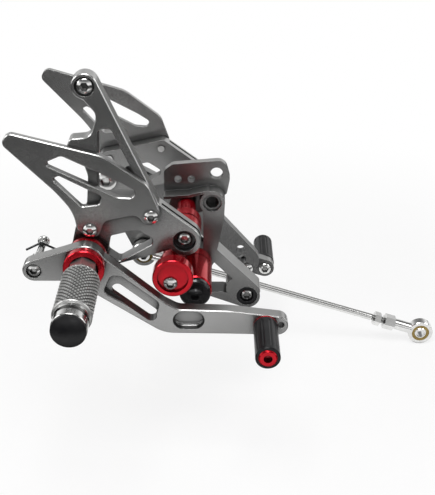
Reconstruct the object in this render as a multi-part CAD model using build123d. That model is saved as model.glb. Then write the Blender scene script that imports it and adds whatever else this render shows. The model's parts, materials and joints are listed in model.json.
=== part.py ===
"""Rear sets footrest: a right and a left motorcycle footrest with their brake and gear levers.

Millimetres. X points to the front of the motorcycle, Y to its left side and Z up.
Every piece is drawn on the right side, with w the distance outwards from the outer face of the hanger,
and the pieces of the left side are mirrored. The origin is the upper bolt hole of the frame bracket.
"""
import os
from math import atan2, cos, hypot, radians, sin

from build123d import *

os.makedirs("parts", exist_ok=True)

# Layout and fits
side_span = 165.0  # between the outer faces of the two hangers
play = 0.25  # radial gap around a bolt in a clearance hole
fit = 0.05  # radial gap of a running or seated fit
side_gap = 0.3  # gap beside a turning piece
edge_break = 0.7  # chamfer along outer edges
left_x = -1.8  # left pivot behind the right one
left_z = -7.0  # and below it
left_turn = 2.0  # left side nose down, in degrees

# Hangers
hanger_t = 12.0
front_drop = 3.0  # front plate set back from the strut face
pivot_r = 16.5
hanger_hub_r = 13.0
boss_x = 73.0
boss_z = 9.0
boss_r = 12.4
boss_bore_d = 17.3
boss_bore_depth = 3.0
strut_x = 4.9
strut_z = 129.5
strut_r = 9.5
strut_bore_d = 14.4
strut_bore_depth = 3.0
strut_head_r = 6.2
strut_leg = 6.4
lug_reach = 15.3

# Heel guards
guard_t = 5.0
rear_x = 3.3
rear_z = 20.6
fore_x = 49.0
fore_z = 31.6
guard_tip_x = -56.0
guard_tip_z = 92.0
guard_peak_z = 97.0
guard_crest_x = 16.3
guard_crest_z = 79.2
guard_rim = 8.0
upper_tip_x = -28.2  # rear end of the upper opening
upper_tip_z = 73.6
upper_peak_x = -14.3
upper_peak_z = 87.6
lower_tip_x = -22.0  # rear end of the lower opening
lower_tip_z = 61.6
lower_peak_x = -17.0
lower_peak_z = 64.2
bolt_proud = 1.5  # guard screws past the back of the hanger

# Small fasteners
m6_r = 3.0
m6_head_r = 5.25
m6_head_h = 3.3
m6_socket = 5.0
m8_r = 4.0
m8_head_r = 5.6
m8_head_h = 4.0
m8_socket = 6.0
cap_head_r = 6.7
cap_head_h = 5.0
cap_socket = 6.0
frame_bolt_reach = 12.0  # frame bolts past the back of what they hold
shank_cut = 0.4  # shank of a frame bolt under its thread
button_dome = 0.6  # domed share of a button head
cap_dome_share = 0.25  # and of a cap head
socket_floor = 0.2  # share of the head under its socket

# Pivots
lever_gap = 9.5  # from hanger face to lever
lever_t = 10.0
bush_r = 10.5
bush_step_r = 12.8
bush_flange_r = 14.8
ring_r = 15.3
ring_base = 1.5
ring_rim = 7.4
ring_back_r = 13.4
ring_taper = 3.2
spindle_r = 6.0
spindle_head_r = 9.5
spindle_head_h = 6.0
spindle_grip = 42.0

# Foot pegs
neck_r = 10.6  # to the corners of the hexagon
neck_l = 23.7
barrel_r = 13.9
barrel_l = 50.5
spigot_r = 6.0
spigot_over = 3.0  # past the collar, into the cap
collar_r = 12.5
collar_l = 15.4
collar_lip = 4.0  # before the groove
collar_groove = 1.5
collar_groove_w = 4.2
cap_r = 12.1
cap_rim = 2.6
cap_dome = 2.6

# Brake lever
tail_x = -38.3
tail_z = -6.0
tail_r = 8.5
tail_bore_r = 5.7
tail_bore_depth = 2.4
hub_r = 16.5
hub_top_r = 14.6
bend_x = 60.0
bend_z = -49.0
swell_x = 107.0  # where the arm starts to narrow
arm_r = 11.0
toe_x = 134.4
toe_z = -53.6
tip_x = 143.6
tip_r = 8.2
tip_hole_r = 2.6
window_depth = 5.0  # of the recess around the slot
slot_r = 4.5
pocket_x = 76.0
pocket_l = 24.0
pocket_h = 15.5
pocket_depth = 5.5
pocket_corner = 3.0  # rounded foot of the pocket's wall

# Toe pegs
toe_ring_r = 9.35
toe_ring_t = 1.5
toe_sleeve_r = 9.3
toe_sleeve_l = 43.0
toe_flutes = 10
toe_flute_depth = 0.35
toe_plug_r = 7.0
toe_plug_t = 5.0
toe_plug_out = 1.2
toe_plug_hole_r = 3.2
toe_plug_hole_depth = 3.6
toe_plug_edge = 1.0

# Brake rod pin
rod_pin_r = 2.7
rod_pin_l = 40.5
rod_pin_base_r = 4.8
rod_pin_base_l = 12.0
rod_pin_cap_r = 4.7
rod_pin_cap_t = 3.0
tail_grip = 10.0  # tail screw past the lever
cotter_r = 0.85
cotter_from_end = 12.5
cotter_l = 13.5
cotter_droop = 27.0  # legs below level, in degrees

# Stand-off, spring post and stop
standoff_l = 60.0
standoff_r = 12.4
standoff_neck_r = 7.4
standoff_near = 22.0
standoff_groove = 2.0
post_x = 80.3
post_z = -40.5
post_r = 13.0
post_l = 48.6
post_groove = 1.4
washer_r = 12.2
washer_t = 5.0
stop_x = 62.6
stop_z = -17.7
stop_post_r = 10.0
stop_post_neck_r = 8.0
stop_post_near = 26.0
cam_r = 15.3
cam_off_x = 1.9
cam_off_z = 5.1
cam_rim = 3.6
cam_recess = 2.4

# Frame bracket
plate_t = 6.0
arm_rise = 12.0  # arms stand forward of the plate
upper_x = 97.2
upper_z = 33.5
upper_hole_r = 5.1
middle_x = 93.7
middle_z = 12.7
middle_r = 10.2
middle_hole_r = 5.1
middle_bore_r = 7.4
middle_bore_depth = 2.0
middle_hole_depth = 13.0
low_x = 122.6
low_z = -73.3
low_r = 11.0
low_bore_depth = 4.5
low_web_r = 11.0
slim_arm_r = 5.0
small_hole_r = 3.0
small_hole_z = 28.6
small_hole_a = 66.0
small_hole_b = 76.8
rib_t = 2.5
rib_drop = 14.8  # left end of the rib below the upper hole
rib_rise = 5.5

# Gear lever
elbow_x = 82.0
elbow_z = -51.5
gear_end_x = 124.0
gear_end_z = -100.0
gear_arm_r = 13.5
gear_hole_r = 4.0
rod_arm_r = 9.0
rod_boss_t = 2.0
holder_t = 10.0
holder_r = 8.8
holder_screw_x = 126.5
holder_screw_z = -108.7
gear_toe_x = 143.8
gear_toe_z = -114.0

# Gear rod
eye_rear_x = 28.6
eye_rear_z = -88.0
eye_front_x = 296.6
eye_front_z = -174.6
eye_r = 12.0
eye_t = 9.0
race_r = 8.4
ball_r = 7.2
ball_w = 10.5
ball_bore_r = 4.1
rod_r = 3.25
rod_thread_r = 3.0
rod_hex = 13.0
rod_hex_l = 10.0
rod_shank_r = 5.2
rod_end_l = 38.0
rod_thread_in = 12.0
nut_hex = 11.5
nut_t = 6.0
nut_gap = 4.5

# Places that follow from the sizes
lever_in = lever_gap
lever_out = lever_gap + lever_t
cam_x = stop_x + cam_off_x
cam_z = stop_z + cam_off_z
plate_front = -hanger_t - standoff_l
arm_front = plate_front + arm_rise
bracket_back = plate_front - plate_t
bush_end = lever_out + side_gap
ring_floor = bush_end + ring_base
barrel_start = ring_floor + neck_l
barrel_end = barrel_start + barrel_l
collar_end = barrel_end + collar_l
spigot_end = collar_end + spigot_over
tip_z = toe_z
rod_w = lever_in - rod_boss_t - ball_w / 2
rod_pin_end = lever_in - rod_pin_l
boss_face = -front_drop
boss_floor = boss_face - boss_bore_depth
plate_left = small_hole_a - 11.3
rib_z = upper_z - rib_drop
lug_x = rear_x + 1.5 - lug_reach
MIN = (Align.CENTER, Align.CENTER, Align.MIN)
MAX = (Align.CENTER, Align.CENTER, Align.MAX)


# Drawing helpers
def outline(*corners):
    """A face from corners (x, z, radius)."""
    points = [(x, z) for x, z, _ in corners]
    radii = [r for _, _, r in corners]
    return make_face(FilletPolyline(*points, radius=radii, close=True))


def disc(x, z, r):
    """A round face."""
    return Pos(x, z) * Circle(r)


def bar(x1, z1, r1, x2, z2, r2):
    """A face with two round ends and straight sides."""
    return make_hull((disc(x1, z1, r1) + disc(x2, z2, r2)).edges())


def slab(face, w1, w2):
    """A face drawn in X and Z, as a solid from w1 out to w2."""
    return extrude(Plane.XZ.offset(w1) * face, w2 - w1)


def turned(x, z, r, w1, w2):
    """A cylinder along Y from w1 out to w2."""
    return slab(disc(x, z, r), w1, w2)


def tapered(r1, r2, w1, w2):
    """A cone about the pivot, from w1 out to w2."""
    return Plane(origin=(0, -w1, 0), z_dir=(0, -1, 0)) * Cone(r1, r2, w2 - w1, align=MIN)


def screw(x, z, w, r, length, head_r, head_h, socket, inward=False, dome=button_dome):
    """A socket screw whose domed head sits at w, pointing out or in."""
    dome_h = head_h * dome
    sphere_r = (head_r**2 + dome_h**2) / (2 * dome_h)
    ball = Pos(0, 0, head_h - sphere_r) * Rot(90, 0, 0) * Sphere(sphere_r)
    head = Cylinder(head_r, head_h, align=MIN) & ball
    key = extrude(RegularPolygon(socket / 2, 6, major_radius=False), head_h)
    body = head + Cylinder(r, length, align=MAX) - Pos(0, 0, head_h * socket_floor) * key
    way = 1 if inward else -1
    return Plane(origin=(x, -w, z), x_dir=(1, 0, 0), z_dir=(0, way, 0)) * body


def frame_bolt(x, z, w, back, head_r):
    """A bolt through a piece whose back is at w = back, with its thread free behind it."""
    piece = screw(x, z, w, m8_r - shank_cut, w - back, head_r, m8_head_h, m8_socket)
    return piece + turned(x, z, m8_r, back - frame_bolt_reach, back)


def mirrored(piece):
    """The same piece on the left side."""
    return mirror(piece, about=Plane.XZ.offset(-side_span / 2))


def left_fixed(piece):
    """A fixed piece of the left side, which stands lower and nose down."""
    return mirrored(Pos(left_x, 0, left_z) * Rot(0, left_turn, 0) * piece)


def broken_edges(piece, w):
    """Chamfers along the outlines of the outer face at w."""
    flat = piece.faces().filter_by(Axis.Y)
    outer = flat.filter_by(lambda f: abs(f.center().Y + w) < 0.01)
    return chamfer(outer.sort_by(SortBy.AREA)[-1].edges(), edge_break)


# Hangers
def strut_edge(z, inset):
    """X of a line beside the front edge of the strut."""
    top_x = strut_x + strut_r * 0.93
    top_z = strut_z + strut_r * 0.37
    low_edge_x = fore_x + 5.5
    low_edge_z = fore_z + 8
    lean = (low_edge_x - top_x) / (top_z - low_edge_z)
    return top_x + lean * (top_z - z) - inset * hypot(1, lean)


def lower_window():
    """The window in front of the pivot."""
    reach = boss_x - boss_r
    return outline(
        (pivot_r + 1.2, boss_z + 4.4, 3),
        (reach * 0.62, boss_z + 9.1, 5),
        (reach * 0.87, boss_z - 0.4, 4),
        (pivot_r + 7, boss_z - 17.4, 3.5),
        (pivot_r - 1.6, boss_z - 11, 3),
    )


def boss_bores():
    """The counterbored hole in the front boss."""
    hole = turned(boss_x, boss_z, m8_r + play, -hanger_t, 0)
    return hole + turned(boss_x, boss_z, boss_bore_d / 2, boss_floor, 0)


def guard_bores():
    """The tapped holes of the heel guard."""
    return turned(rear_x, rear_z, m6_r + fit, -hanger_t, 0) + turned(fore_x, fore_z, m6_r + fit, -hanger_t, 0)


def front_relief():
    """What is taken off the outer face of the front plate."""
    far = boss_x + boss_r + 1
    face = Polygon(
        (fore_x + 8.2, fore_z + 12),
        (far, fore_z + 12),
        (far, boss_z - boss_r - 1),
        (fore_x + 2, boss_z - boss_r - 1),
        align=None,
    )
    return slab(face, -front_drop, 0)


def right_hanger():
    """The plate with its strut, on the brake side."""
    face = outline(
        (strut_x + strut_r * 0.93, strut_z + strut_r * 0.37, 0),
        (fore_x + 5.5, fore_z + 8, 4),
        (boss_x + boss_r * 0.6, boss_z + boss_r * 0.8, 0),
        (boss_x, boss_z, 0),
        (boss_x - boss_r, boss_z - 8, 3),
        (pivot_r * 0.5, -pivot_r * 0.9, 6),
        (-hanger_hub_r * 0.5, -hanger_hub_r * 0.86, 0),
        (0, 0, 0),
        (-hanger_hub_r * 0.9, hanger_hub_r * 0.43, 0),
        (rear_x - 11.3, rear_z, 6),
        (rear_x - 1.7, strut_z * 0.3, 12),
        (rear_x + 0.4, strut_z * 0.48, 12),
        (rear_x - 4.5, strut_z * 0.61, 5),
        (lug_x, strut_z * 0.652, 2.5),
        (lug_x + 2.4, strut_z * 0.7, 3.5),
        (strut_x + 2, strut_z * 0.71, 8),
        (strut_x + 7.6, strut_z * 0.84, 7),
        (strut_x - strut_r * 0.5, strut_z - strut_r * 0.6, 0),
        (strut_x, strut_z, 0),
    )
    face += disc(strut_x, strut_z, strut_r)
    face += disc(boss_x, boss_z, boss_r)
    face += disc(0, 0, hanger_hub_r)
    top = strut_z * 0.755
    low = fore_z + 14.4
    face -= outline(
        (strut_x + 7.6, top, 4),
        (strut_edge(top, strut_leg), top, 3.5),
        (strut_edge(low, strut_leg), low, 4),
        (strut_x + 5.2, low, 4),
    )
    face -= lower_window()
    piece = slab(face, -hanger_t, 0) - front_relief()
    piece = broken_edges(piece, 0)
    piece -= turned(0, 0, spindle_r + fit, -hanger_t, 0)
    piece -= boss_bores()
    piece -= guard_bores()
    piece -= turned(strut_x, strut_z, m8_r + play, -hanger_t, 0)
    piece -= turned(strut_x, strut_z, strut_bore_d / 2, -strut_bore_depth, 0)
    return piece


def left_hanger():
    """The plate on the gear side, which has no strut."""
    face = outline(
        (rear_x - 7.5, rear_z + 5, 5),
        (fore_x + 2, fore_z + 8, 6),
        (boss_x + boss_r * 0.6, boss_z + boss_r * 0.8, 0),
        (boss_x, boss_z, 0),
        (boss_x - boss_r, boss_z - 8, 3),
        (pivot_r * 0.5, -pivot_r * 0.9, 6),
        (-hanger_hub_r * 0.5, -hanger_hub_r * 0.86, 0),
        (0, 0, 0),
        (-hanger_hub_r * 0.9, hanger_hub_r * 0.43, 0),
    )
    face += disc(boss_x, boss_z, boss_r)
    face += disc(0, 0, hanger_hub_r)
    face -= lower_window()
    piece = slab(face, -hanger_t, 0) - front_relief()
    piece = broken_edges(piece, 0)
    piece -= turned(0, 0, spindle_r + fit, -hanger_t, 0)
    piece -= boss_bores()
    piece -= guard_bores()
    return left_fixed(piece)


def heel_guard():
    """The flat guard with its two openings."""
    face = outline(
        (guard_tip_x - 1, guard_tip_z - 3, 5.8),
        (guard_tip_x + 5, guard_peak_z, 5.8),
        (guard_crest_x, guard_crest_z, 30),
        (fore_x - 1.5, fore_z + 25, 14),
        (fore_x + 7, fore_z + 2.5, 5),
        (fore_x + 1.5, fore_z - 7, 4),
        (fore_x - 5.5, fore_z - 6.3, 4),
        (fore_x - 11.5, fore_z + 1.2, 6),
        (rear_x + 11, rear_z + 6.8, 7),
        (rear_x + 6.3, rear_z - 5, 4),
        (rear_x - 1.5, rear_z - 7.2, 4),
        (rear_x - 9.8, rear_z + 1, 5),
        (rear_x - 11, rear_z + 14, 35),
        (rear_x - 24, rear_z + 31, 80),
    )
    face -= outline(
        (upper_tip_x, upper_tip_z, 2.5),
        (upper_peak_x, upper_peak_z - guard_rim, 5),
        (fore_x - 21.5, fore_z + 35.3 - guard_rim, 20),
        (fore_x - 10.2, fore_z + 20.4, 3.5),
        (fore_x - 13.5, fore_z + 15, 3),
        (fore_x - 24, fore_z + 15.6, 8),
    )
    face -= outline(
        (lower_tip_x, lower_tip_z, 2),
        (lower_peak_x, lower_peak_z, 2.5),
        (rear_x + 10.3, rear_z + 27, 2.5),
        (rear_x + 7.7, rear_z + 20.8, 2.5),
        (rear_x - 5, rear_z + 19, 3),
    )
    piece = broken_edges(slab(face, 0, guard_t), guard_t)
    piece -= turned(rear_x, rear_z, m6_r + play, 0, guard_t)
    piece -= turned(fore_x, fore_z, m6_r + play, 0, guard_t)
    return piece


def guard_bolts():
    """The two screws of the heel guard."""
    length = guard_t + hanger_t + bolt_proud
    rear = screw(rear_x, rear_z, guard_t, m6_r, length, m6_head_r, m6_head_h, m6_socket)
    fore = screw(fore_x, fore_z, guard_t, m6_r, length, m6_head_r, m6_head_h, m6_socket)
    return rear + fore


# Pivots and pegs
def pivot_bush():
    """The red bush on which a lever turns."""
    piece = turned(0, 0, bush_flange_r, guard_t + side_gap, lever_in - side_gap)
    piece += turned(0, 0, bush_step_r, 0, guard_t + side_gap)
    piece += turned(0, 0, bush_r, 0, bush_end)
    return piece - turned(0, 0, spindle_r + fit, 0, bush_end)


def pivot_ring():
    """The red cup ring in front of a lever."""
    front = ring_floor + ring_rim
    piece = turned(0, 0, ring_r, bush_end + ring_taper, front)
    piece = chamfer(piece.edges().filter_by(GeomType.CIRCLE).sort_by(Axis.Y)[0], edge_break)
    piece += tapered(ring_back_r, ring_r, bush_end, bush_end + ring_taper)
    piece -= turned(0, 0, neck_r + play, ring_floor, front)
    return piece - turned(0, 0, spindle_r + fit, bush_end, ring_floor)


def spindle():
    """The bolt through hanger and bush into the peg."""
    length = hanger_t + ring_floor + spindle_grip
    return screw(0, 0, -hanger_t, spindle_r, length, spindle_head_r, spindle_head_h, 8, inward=True)


def peg_barrel():
    """The foot peg with its hexagonal neck and end spigot."""
    piece = slab(RegularPolygon(neck_r, 6, rotation=30), ring_floor, barrel_start)
    barrel = turned(0, 0, barrel_r, barrel_start, barrel_end)
    piece += chamfer(barrel.edges().filter_by(GeomType.CIRCLE), 0.9)
    piece += turned(0, 0, spigot_r, barrel_end, spigot_end)
    return piece - turned(0, 0, spindle_r + fit, ring_floor, ring_floor + spindle_grip)


def peg_collar():
    """The polished collar at the outer end of a peg."""
    piece = turned(0, 0, collar_r, barrel_end, collar_end)
    piece = fillet(piece.edges().filter_by(GeomType.CIRCLE), 1.0)
    start = barrel_end + collar_lip
    end = start + collar_groove_w
    groove = turned(0, 0, collar_r, start, end)
    piece -= groove - turned(0, 0, collar_r - collar_groove, start, end)
    return piece - turned(0, 0, spigot_r + fit, barrel_end, collar_end)


def peg_cap():
    """The black domed cap."""
    rim = collar_end + cap_rim
    sphere_r = (cap_r**2 + cap_dome**2) / (2 * cap_dome)
    dome = Pos(0, -(rim + cap_dome - sphere_r), 0) * Sphere(sphere_r)
    piece = turned(0, 0, cap_r, collar_end, rim + 2 * cap_dome)
    piece = piece & dome
    return piece - turned(0, 0, spigot_r + fit, collar_end, spigot_end)


# Brake lever
def brake_lever():
    """The brake lever, from its tail to the toe end."""
    face = bar(tail_x, tail_z, tail_r, 0, 0, hub_top_r)
    face += outline(
        (hub_top_r * 0.62, hub_top_r * 0.62, 0),
        (bend_x - 2, bend_z + arm_r + 4.6, 10),
        (bend_x + 8, bend_z + arm_r - 1.2, 12),
        (swell_x, bend_z + arm_r - 2.6, 40),
        (tip_x, tip_z + tip_r, 0),
        (tip_x, tip_z - tip_r, 0),
        (swell_x, bend_z - arm_r - 0.8, 40),
        (bend_x - 3, bend_z - arm_r, 26),
        (hub_r * 0.3, -hub_r - 8.5, 6),
        (-hub_r * 0.5, -hub_r * 0.6, 0),
    )
    face += disc(tip_x, tip_z, tip_r)
    window = outline(
        (hub_r - 4.2, -hub_r - 7.8, 4),
        (hub_r + 2, -hub_r + 6, 4),
        (hub_r + 9.6, -hub_r + 5.8, 5),
        (bend_x - 6, bend_z + arm_r + 4.3, 5),
        (bend_x - 10, bend_z + 1.3, 5),
    )
    piece = slab(face, lever_in, lever_out) - slab(window, lever_out - window_depth, lever_out)
    piece = broken_edges(piece, lever_out)
    slot = bar(hub_r + 6.1, -hub_r - 7.4, slot_r, bend_x - 12.5, bend_z + 4.7, slot_r)
    piece -= slab(slot, lever_in, lever_out)
    piece -= turned(0, 0, bush_r + fit, lever_in, lever_out)
    pocket = Pos(pocket_x, bend_z + 0.4) * SlotOverall(pocket_l, pocket_h)
    cutter = slab(pocket, lever_out - pocket_depth, lever_out)
    piece -= fillet(cutter.faces().sort_by(Axis.Y)[-1].edges(), pocket_corner)
    piece -= turned(tip_x + 2.7, tip_z + 0.9, tip_hole_r, lever_in, lever_out)
    piece -= turned(toe_x, toe_z, m8_r + play, lever_in, lever_out)
    piece -= turned(toe_x, toe_z, m8_head_r + play, lever_in, lever_in + m8_head_h)
    piece -= turned(tail_x, tail_z, m6_r + play, lever_in, lever_out)
    piece -= turned(tail_x, tail_z, tail_bore_r, lever_out - tail_bore_depth, lever_out)
    return piece


def toe_ring(x, z, w):
    """The thin red ring under a toe sleeve."""
    return turned(x, z, toe_ring_r, w, w + toe_ring_t) - turned(x, z, m8_r + play, w, w + toe_ring_t)


def toe_sleeve(x, z, w):
    """The fluted black sleeve of a toe peg."""
    start = w + toe_ring_t
    end = start + toe_sleeve_l
    piece = turned(x, z, toe_sleeve_r, start, end)
    piece = chamfer(piece.edges().filter_by(GeomType.CIRCLE).sort_by(Axis.Y)[0], edge_break)
    flute = disc(toe_sleeve_r + 2 - toe_flute_depth, 0, 2)
    flutes = Pos(x, z) * PolarLocations(0, toe_flutes) * flute
    piece -= slab(Sketch() + flutes, start + 3, end - 4)
    piece -= turned(x, z, m8_r + play, start, end)
    return piece - turned(x, z, toe_plug_r + fit, end - toe_plug_t, end)


def toe_plug(x, z, w):
    """The red end plug of a toe peg."""
    end = w + toe_ring_t + toe_sleeve_l
    piece = turned(x, z, toe_plug_r, end - toe_plug_t, end + toe_plug_out)
    piece = chamfer(piece.edges().filter_by(GeomType.CIRCLE).sort_by(Axis.Y)[0], toe_plug_edge)
    front = end + toe_plug_out
    return piece - turned(x, z, toe_plug_hole_r, front - toe_plug_hole_depth, front)


def toe_bolt(x, z, w, grip):
    """The bolt through the carrier into the toe peg, its head on the inner side."""
    length = grip + toe_ring_t + toe_sleeve_l - toe_plug_t
    return screw(x, z, w - grip, m8_r, length, m8_head_r, m8_head_h, m8_socket, inward=True)


def tail_bolt():
    """The screw in the tail of the brake lever."""
    seat = lever_out - tail_bore_depth
    length = seat - lever_in + tail_grip
    return screw(tail_x, tail_z, seat, m6_r, length, m6_head_r, m6_head_h, m6_socket)


def brake_rod_pin():
    """The pin behind the tail, for the brake rod."""
    base = lever_in - rod_pin_base_l
    piece = turned(tail_x, tail_z, rod_pin_base_r, base, lever_in)
    piece = chamfer(piece.edges().filter_by(GeomType.CIRCLE).sort_by(Axis.Y)[-1], edge_break)
    piece += turned(tail_x, tail_z, rod_pin_r, rod_pin_end, base)
    tip = turned(tail_x, tail_z, rod_pin_cap_r, rod_pin_end, rod_pin_end + rod_pin_cap_t)
    piece += fillet(tip.edges().filter_by(GeomType.CIRCLE), 1.2)
    piece -= turned(tail_x, tail_z, m6_r + fit, lever_in - tail_grip, lever_in)
    place = Pos(tail_x, -(rod_pin_end + cotter_from_end), tail_z)
    return piece - place * Cylinder(cotter_r * 1.6 + fit, rod_pin_r * 4)


def cotter_pin():
    """The split pin through the brake rod pin."""
    ring_mean = cotter_r * 2.4
    top = (rod_pin_r + cotter_r + side_gap) / cos(radians(cotter_droop))
    piece = Pos(0, 0, top) * Cylinder(cotter_r * 1.6, 2 * top, align=MAX)
    piece += Pos(0, 0, -top - ring_mean) * Rot(90, 0, 0) * Torus(ring_mean, cotter_r)
    for lean in (90 + cotter_droop, -90 - cotter_droop):
        piece += Pos(0, 0, top) * Rot(0, lean, 0) * Cylinder(cotter_r, cotter_l, align=MIN)
    return Pos(tail_x, -(rod_pin_end + cotter_from_end), tail_z) * piece


# Frame bracket and what stands on it
def upper_plate():
    """The face of the plate behind the arms."""
    face = outline(
        (plate_left, rib_z - rib_t, 0),
        (plate_left, upper_z + 2.6, 5),
        (small_hole_a - 4.1, upper_z + 8, 6),
        (upper_x + 6.8, upper_z + 11.6, 8),
        (upper_x + 10.9, upper_z - 4, 12),
        (upper_x + 8, upper_z - 19, 3),
    )
    face += bar(boss_x, boss_z, 13, stop_x, stop_z, 12)
    face += bar(stop_x, stop_z, 12, post_x, post_z, post_r)
    face += bar(boss_x, boss_z, 13, middle_x, middle_z, 9)
    return face


def arm_faces():
    """The thick arms around the window."""
    knee_x = middle_x + 0.5
    knee_z = post_z + 7.5
    face = outline(
        (middle_x - 7.4, middle_z, 0),
        (middle_x + 10.3, middle_z + 4, 3),
        (middle_x + 9.5, middle_z - 13.5, 20),
        (knee_x + slim_arm_r * 0.8, knee_z + 6, 8),
        (knee_x + slim_arm_r * 0.4, knee_z, 0),
        (knee_x - slim_arm_r - 3, knee_z, 4),
        (middle_x - 7.4, middle_z - 20, 10),
    )
    face += disc(middle_x, middle_z, middle_r)
    face += bar(knee_x, knee_z, slim_arm_r, low_x + 6.1, low_z + 5.1, slim_arm_r)
    face += bar(knee_x, knee_z, slim_arm_r, post_x, post_z, post_r)
    face += bar(post_x, post_z, post_r, post_x + 4.5, low_z + 6, 6)
    face += outline(
        (post_x + 4.5, low_z + 4, 0),
        (low_x - 20, low_z + 4, 0),
        (low_x, low_z, 0),
        (low_x - low_r * 0.38, low_z - low_r * 0.92, 0),
        (post_x + 11.7, low_z, 6),
        (post_x + 4.5, low_z, 0),
    )
    face += disc(low_x, low_z, low_r)
    face += disc(low_x - 6.6, low_z + 7.3, low_web_r)
    return face


def frame_bracket():
    """The adapter that carries the brake side on the frame."""
    piece = slab(upper_plate(), bracket_back, plate_front)
    piece += slab(arm_faces(), bracket_back, arm_front)
    rib = outline(
        (plate_left, rib_z - rib_t, 0),
        (plate_left, rib_z, 1),
        (small_hole_b - 3, rib_z + 1, 12),
        (middle_x - 2, rib_z + rib_rise, 3),
        (middle_x + 2, middle_z, 0),
        (middle_x - 2, rib_z + rib_rise - rib_t, 0),
        (small_hole_b - 3, rib_z + 1 - rib_t, 12),
    )
    piece += slab(rib, bracket_back, arm_front)
    piece -= turned(upper_x, upper_z, upper_hole_r, bracket_back, arm_front)
    piece -= turned(small_hole_a, small_hole_z, small_hole_r, bracket_back, arm_front)
    piece -= turned(small_hole_b, small_hole_z, small_hole_r, bracket_back, arm_front)
    piece -= turned(middle_x, middle_z, middle_hole_r, arm_front - middle_hole_depth, arm_front)
    piece -= turned(middle_x, middle_z, middle_bore_r, arm_front - middle_bore_depth, arm_front)
    piece -= turned(low_x, low_z, m8_r + play, bracket_back, arm_front)
    piece -= turned(low_x, low_z, boss_bore_d / 2, arm_front - low_bore_depth, arm_front)
    piece -= turned(boss_x, boss_z, m8_r + fit, bracket_back, plate_front)
    piece -= turned(stop_x, stop_z, m6_r + fit, bracket_back, plate_front)
    piece -= turned(post_x, post_z, m8_r + fit, bracket_back, arm_front)
    return piece


def bore_ring(x, z, w, depth):
    """The black ring around a bolt head in a counterbore."""
    ring = turned(x, z, boss_bore_d / 2 - fit, w, w + depth - 0.8)
    return ring - turned(x, z, m8_head_r + play, w, w + depth)


def hanger_standoff():
    """The red spool between hanger and bracket."""
    near = -hanger_t - standoff_near
    piece = turned(boss_x, boss_z, standoff_r, near, -hanger_t)
    piece += turned(boss_x, boss_z, standoff_neck_r, plate_front, near)
    groove_w = near + standoff_near * 0.45
    groove = turned(boss_x, boss_z, standoff_r, groove_w, groove_w + standoff_groove)
    core_r = standoff_r - standoff_groove
    piece -= groove - turned(boss_x, boss_z, core_r, groove_w, groove_w + standoff_groove)
    piece = chamfer(piece.edges().filter_by(GeomType.CIRCLE).sort_by(Axis.Y)[-1], edge_break)
    return piece - turned(boss_x, boss_z, m8_r + play, plate_front, -hanger_t)


def spring_post():
    """The red post below the stand-off."""
    front = arm_front + post_l
    piece = turned(post_x, post_z, post_r, arm_front, front)
    piece = chamfer(piece.edges().filter_by(GeomType.CIRCLE).sort_by(Axis.Y)[0], 1.2)
    groove_w = arm_front + post_l * 0.2
    groove = turned(post_x, post_z, post_r, groove_w, groove_w + post_groove)
    piece -= groove - turned(post_x, post_z, post_r - post_groove, groove_w, groove_w + post_groove)
    return piece - turned(post_x, post_z, m8_r + play, arm_front, front)


def post_washer():
    """The washer at the front of the spring post."""
    front = arm_front + post_l
    piece = turned(post_x, post_z, washer_r, front, front + washer_t)
    piece = chamfer(piece.edges().filter_by(GeomType.CIRCLE).sort_by(Axis.Y)[0], 2 * edge_break)
    return piece - turned(post_x, post_z, m8_r + play, front, front + washer_t)


def stop_post():
    """The stepped red post of the stop."""
    near = lever_in - stop_post_near
    piece = turned(stop_x, stop_z, stop_post_r, near, lever_in)
    piece += turned(stop_x, stop_z, stop_post_neck_r, plate_front, near)
    return piece - turned(stop_x, stop_z, m6_r + play, plate_front, lever_in)


def stop_cam():
    """The eccentric disc that stops the brake lever."""
    piece = turned(cam_x, cam_z, cam_r, lever_in, lever_out)
    piece = chamfer(piece.edges().filter_by(GeomType.CIRCLE).sort_by(Axis.Y)[0], edge_break)
    piece -= turned(cam_x, cam_z, cam_r - cam_rim, lever_out - cam_recess, lever_out)
    return piece - turned(stop_x, stop_z, m6_r + play, lever_in, lever_out)


# Gear lever
def gear_lever():
    """The gear lever with its toe arm and rod arm."""
    face = bar(left_x, left_z, hub_r, elbow_x, elbow_z, gear_arm_r)
    face += bar(elbow_x, elbow_z, gear_arm_r, gear_end_x, gear_end_z, gear_arm_r)
    face += bar(left_x, left_z, hub_r - 2, eye_rear_x, eye_rear_z, rod_arm_r)
    piece = broken_edges(slab(face, lever_in, lever_out), lever_out)
    piece += turned(eye_rear_x, eye_rear_z, rod_arm_r - 1, lever_in - rod_boss_t, lever_in)
    piece -= turned(left_x, left_z, bush_r + fit, lever_in, lever_out)
    piece -= turned(gear_end_x - 4.3, gear_end_z + 12, gear_hole_r, lever_in, lever_out)
    piece -= turned(gear_end_x - 2.7, gear_end_z + 1.3, gear_hole_r, lever_in, lever_out)
    piece -= turned(holder_screw_x, holder_screw_z, m6_r + play, lever_in, lever_out)
    return piece - turned(eye_rear_x, eye_rear_z, m8_r + fit, lever_in - rod_boss_t, lever_out)


def toe_holder():
    """The link that carries the gear toe peg."""
    end = lever_out + holder_t
    face = bar(holder_screw_x, holder_screw_z, holder_r, gear_toe_x, gear_toe_z, holder_r)
    piece = broken_edges(slab(face, lever_out, end), end)
    piece -= turned(holder_screw_x, holder_screw_z, m6_r + fit, lever_out, end)
    return piece - turned(gear_toe_x, gear_toe_z, m8_r + play, lever_out, end)


def holder_screw():
    """The screw that holds the toe holder on the gear lever."""
    length = lever_t + holder_t - 1
    return screw(holder_screw_x, holder_screw_z, lever_in, m6_r, length, m6_head_r, 3, m6_socket, inward=True)


def rod_bolt():
    """The bolt of the rear rod end."""
    seat = rod_w - ball_w / 2
    length = lever_out - seat
    return screw(eye_rear_x, eye_rear_z, seat, m8_r, length, m8_head_r, m8_head_h, m8_socket, inward=True)


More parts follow.
